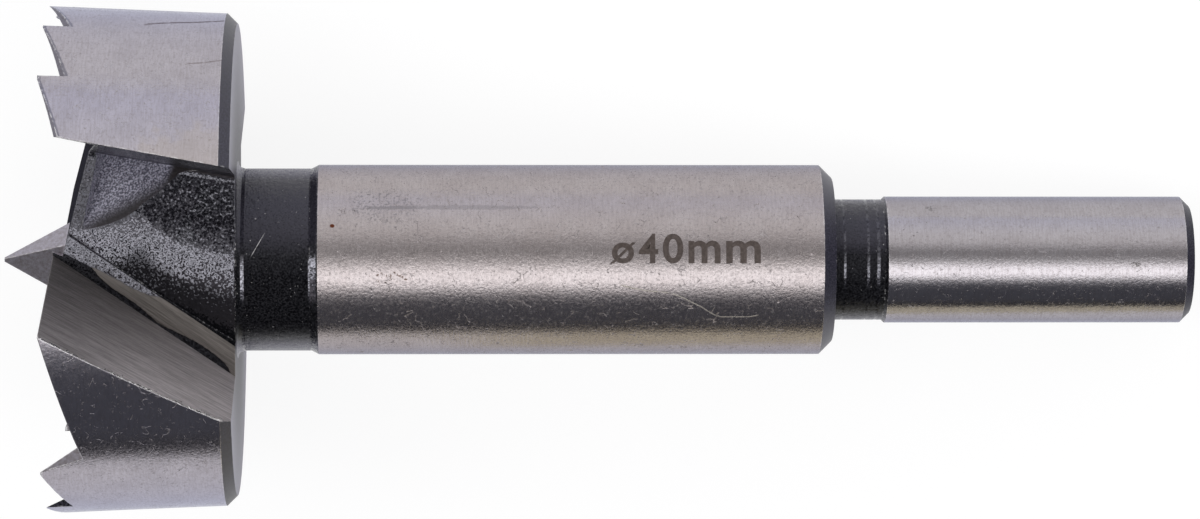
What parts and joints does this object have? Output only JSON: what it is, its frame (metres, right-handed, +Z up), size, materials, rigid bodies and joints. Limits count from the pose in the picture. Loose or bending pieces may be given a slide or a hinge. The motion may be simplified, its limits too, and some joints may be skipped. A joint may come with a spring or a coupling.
{
  "type": "forstner bit",
  "caption": "Saw-tooth forstner bit with a toothed rim, two cutting lips, a centre point and a round shank, for boring flat-bottomed holes in wood.",
  "frame": {"origin": "middle of the lying bit's box, on the surface that it rests on", "axes": "+Z up, +X toward the shank end, point toward -X; the bit lies on its shank end and on two corners of the lower chip opening"},
  "size_m": [0.0932, 0.04, 0.0386],
  "materials": {
    "steel": "ground bright on the cutting head, body and shank, black oxide in the chip openings and necks"
  },
  "bodies": {
    "root": {"forstner_bit": "steel"}
  },
  "joints": []
}
